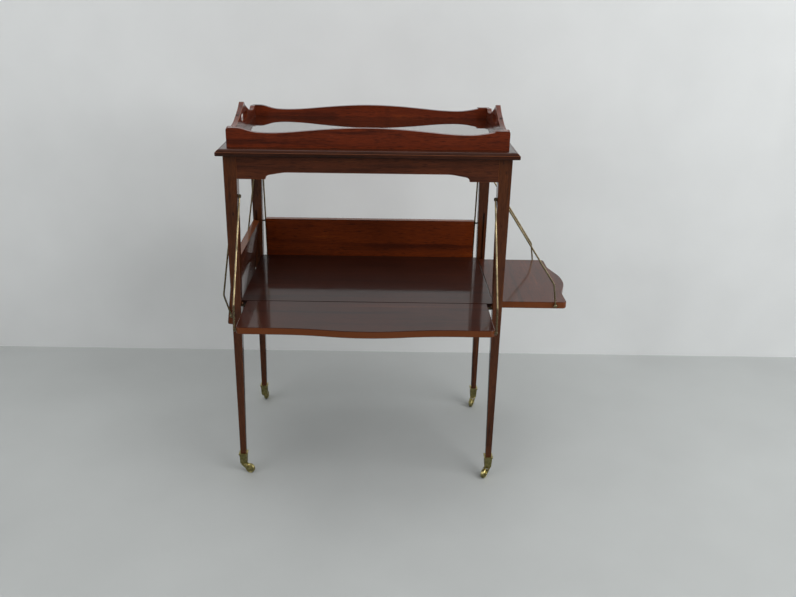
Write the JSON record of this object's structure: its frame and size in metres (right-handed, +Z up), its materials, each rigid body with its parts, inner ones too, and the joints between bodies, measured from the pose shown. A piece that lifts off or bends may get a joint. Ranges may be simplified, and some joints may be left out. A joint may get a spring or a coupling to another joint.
{
  "type": "serving table",
  "caption": "Glazed-tray serving table on casters, with a low shelf and drop leaves that swing up on brass stays.",
  "frame": {"origin": "on the floor below the middle of the table top", "axes": "+Z up, +X to the right along the table's length, +Y from the front to the back"},
  "size_m": [0.8219, 0.54, 0.8865],
  "materials": {
    "mahogany": "gloss",
    "plain_wood": "matte",
    "brass": "satin",
    "glass": "gloss"
  },
  "bodies": {
    "table": {"table_top": "mahogany", "glue_blocks": "plain_wood", "fixed_shelf": "mahogany", "shelf_dowels": "plain_wood", "stay_screws": "brass", "apron_front": "mahogany", "apron_rear": "mahogany", "apron_left": "mahogany", "apron_right": "mahogany", "leg_front_left": "mahogany", "leg_front_right": "mahogany", "leg_rear_left": "mahogany", "leg_rear_right": "mahogany", "caster_cup_front_left": "brass", "caster_cup_front_right": "brass", "caster_cup_rear_left": "brass", "caster_cup_rear_right": "brass"},
    "front_leaf_pins": {"front_leaf_pins": "brass"},
    "front_leaf": {"front_leaf": "mahogany", "front_leaf_studs": "brass"},
    "front_leaf_stay_left": {"front_leaf_stay_left": "brass"},
    "front_leaf_stay_right": {"front_leaf_stay_right": "brass"},
    "right_leaf_pins": {"right_leaf_pins": "brass"},
    "right_leaf": {"right_leaf": "mahogany", "right_leaf_studs": "brass"},
    "right_leaf_stay_front": {"right_leaf_stay_front": "brass"},
    "right_leaf_stay_rear": {"right_leaf_stay_rear": "brass"},
    "rear_leaf_pins": {"rear_leaf_pins": "brass"},
    "rear_leaf": {"rear_leaf": "mahogany", "rear_leaf_studs": "brass"},
    "rear_leaf_stay_right": {"rear_leaf_stay_right": "brass"},
    "rear_leaf_stay_left": {"rear_leaf_stay_left": "brass"},
    "left_leaf_pins": {"left_leaf_pins": "brass"},
    "left_leaf": {"left_leaf": "mahogany", "left_leaf_studs": "brass"},
    "left_leaf_stay_rear": {"left_leaf_stay_rear": "brass"},
    "left_leaf_stay_front": {"left_leaf_stay_front": "brass"},
    "tray": {"tray_front_board": "mahogany", "tray_rear_board": "mahogany", "tray_left_end": "mahogany", "tray_right_end": "mahogany", "tray_base": "plain_wood", "tray_glass": "glass"},
    "caster_front_left": {"caster_horn_front_left": "brass", "caster_axle_front_left": "brass"},
    "caster_wheel_front_left": {"caster_wheel_front_left": "brass"},
    "caster_front_right": {"caster_horn_front_right": "brass", "caster_axle_front_right": "brass"},
    "caster_wheel_front_right": {"caster_wheel_front_right": "brass"},
    "caster_rear_left": {"caster_horn_rear_left": "brass", "caster_axle_rear_left": "brass"},
    "caster_wheel_rear_left": {"caster_wheel_rear_left": "brass"},
    "caster_rear_right": {"caster_horn_rear_right": "brass", "caster_axle_rear_right": "brass"},
    "caster_wheel_rear_right": {"caster_wheel_rear_right": "brass"}
  },
  "joints": [
    {"name": "front_pins_in_grooves", "type": "slide", "parent": "table", "child": "front_leaf_pins", "axis": [0, 0, 1], "range_m": [0, 0.10138]},
    {"name": "front_leaf_swing", "type": "hinge", "parent": "front_leaf_pins", "child": "front_leaf", "pos_m": [0, -0.17509, 0.45], "axis": [1, 0, 0], "range_deg": [0, 90]},
    {"name": "front_stay_left_swing", "type": "hinge", "parent": "table", "child": "front_leaf_stay_left", "pos_m": [0, -0.17093, 0.707], "axis": [1, 0, 0], "range_deg": [0, 28.16]},
    {"name": "front_stay_right_swing", "type": "hinge", "parent": "table", "child": "front_leaf_stay_right", "pos_m": [0, -0.17093, 0.707], "axis": [1, 0, 0], "range_deg": [0, 28.16]},
    {"name": "right_pins_in_grooves", "type": "slide", "parent": "table", "child": "right_leaf_pins", "axis": [0, 0, 1], "range_m": [0, 0.10138]},
    {"name": "right_leaf_swing", "type": "hinge", "parent": "right_leaf_pins", "child": "right_leaf", "pos_m": [0.30159, 0, 0.45], "axis": [0, 1, 0], "range_deg": [0, 90]},
    {"name": "right_stay_front_swing", "type": "hinge", "parent": "table", "child": "right_leaf_stay_front", "pos_m": [0.29743, 0, 0.707], "axis": [0, 1, 0], "range_deg": [0, 28.16]},
    {"name": "right_stay_rear_swing", "type": "hinge", "parent": "table", "child": "right_leaf_stay_rear", "pos_m": [0.29743, 0, 0.707], "axis": [0, 1, 0], "range_deg": [0, 28.16]},
    {"name": "rear_pins_in_grooves", "type": "slide", "parent": "table", "child": "rear_leaf_pins", "axis": [0, 0, -1], "range_m": [0, 0.10138]},
    {"name": "rear_leaf_swing", "type": "hinge", "parent": "rear_leaf_pins", "child": "rear_leaf", "pos_m": [0, 0.17509, 0.55138], "axis": [1, 0, 0], "range_deg": [0, 90]},
    {"name": "rear_stay_right_swing", "type": "hinge", "parent": "table", "child": "rear_leaf_stay_right", "pos_m": [0, 0.17093, 0.707], "axis": [1, 0, 0], "range_deg": [0, 28.16]},
    {"name": "rear_stay_left_swing", "type": "hinge", "parent": "table", "child": "rear_leaf_stay_left", "pos_m": [0, 0.17093, 0.707], "axis": [1, 0, 0], "range_deg": [0, 28.16]},
    {"name": "left_pins_in_grooves", "type": "slide", "parent": "table", "child": "left_leaf_pins", "axis": [0, 0, -1], "range_m": [0, 0.10107]},
    {"name": "left_leaf_swing", "type": "hinge", "parent": "left_leaf_pins", "child": "left_leaf", "pos_m": [-0.30159, 0, 0.55107], "axis": [0, 1, 0], "range_deg": [0, 83]},
    {"name": "left_stay_rear_swing", "type": "hinge", "parent": "table", "child": "left_leaf_stay_rear", "pos_m": [-0.29743, 0, 0.707], "axis": [0, 1, 0], "range_deg": [0, 24.87]},
    {"name": "left_stay_front_swing", "type": "hinge", "parent": "table", "child": "left_leaf_stay_front", "pos_m": [-0.29743, 0, 0.707], "axis": [0, 1, 0], "range_deg": [0, 24.87]},
    {"name": "tray_lift", "type": "slide", "parent": "table", "child": "tray", "axis": [0, 0, 1], "range_m": [0, 0.12]},
    {"name": "caster_swivel_front_left", "type": "hinge", "parent": "table", "child": "caster_front_left", "pos_m": [-0.3044, -0.1779, 0.027], "axis": [0, 0, 1], "continuous": true},
    {"name": "caster_roll_front_left", "type": "hinge", "parent": "caster_front_left", "child": "caster_wheel_front_left", "pos_m": [-0.28902, -0.18231, 0.012], "axis": [0.2756, 0.9613, 0], "continuous": true},
    {"name": "caster_swivel_front_right", "type": "hinge", "parent": "table", "child": "caster_front_right", "pos_m": [0.3044, -0.1779, 0.027], "axis": [0, 0, 1], "continuous": true},
    {"name": "caster_roll_front_right", "type": "hinge", "parent": "caster_front_right", "child": "caster_wheel_front_right", "pos_m": [0.295, -0.19084, 0.012], "axis": [0.809, -0.5878, 0], "continuous": true},
    {"name": "caster_swivel_rear_left", "type": "hinge", "parent": "table", "child": "caster_rear_left", "pos_m": [-0.3044, 0.1779, 0.027], "axis": [0, 0, 1], "continuous": true},
    {"name": "caster_roll_rear_left", "type": "hinge", "parent": "caster_rear_left", "child": "caster_wheel_rear_left", "pos_m": [-0.30217, 0.19374, 0.012], "axis": [-0.9903, 0.1392, 0], "continuous": true},
    {"name": "caster_swivel_rear_right", "type": "hinge", "parent": "table", "child": "caster_rear_right", "pos_m": [0.3044, 0.1779, 0.027], "axis": [0, 0, 1], "continuous": true},
    {"name": "caster_roll_rear_right", "type": "hinge", "parent": "caster_rear_right", "child": "caster_wheel_rear_right", "pos_m": [0.29841, 0.16306, 0.012], "axis": [0.9272, -0.3746, 0], "continuous": true}
  ],
  "couplings": [
    {"joint": "front_pins_in_grooves", "follows": "front_leaf_swing", "m_per_rad": 0.064541},
    {"joint": "front_stay_left_swing", "follows": "front_leaf_swing", "ratio": 0.31283},
    {"joint": "front_stay_right_swing", "follows": "front_leaf_swing", "ratio": 0.31283},
    {"joint": "right_pins_in_grooves", "follows": "right_leaf_swing", "m_per_rad": 0.064541},
    {"joint": "right_stay_front_swing", "follows": "right_leaf_swing", "ratio": 0.31283},
    {"joint": "right_stay_rear_swing", "follows": "right_leaf_swing", "ratio": 0.31283},
    {"joint": "rear_pins_in_grooves", "follows": "rear_leaf_swing", "m_per_rad": 0.064541},
    {"joint": "rear_stay_right_swing", "follows": "rear_leaf_swing", "ratio": 0.31283},
    {"joint": "rear_stay_left_swing", "follows": "rear_leaf_swing", "ratio": 0.31283},
    {"joint": "left_pins_in_grooves", "follows": "left_leaf_swing", "m_per_rad": 0.069772},
    {"joint": "left_stay_rear_swing", "follows": "left_leaf_swing", "ratio": 0.29962},
    {"joint": "left_stay_front_swing", "follows": "left_leaf_swing", "ratio": 0.29962}
  ]
}
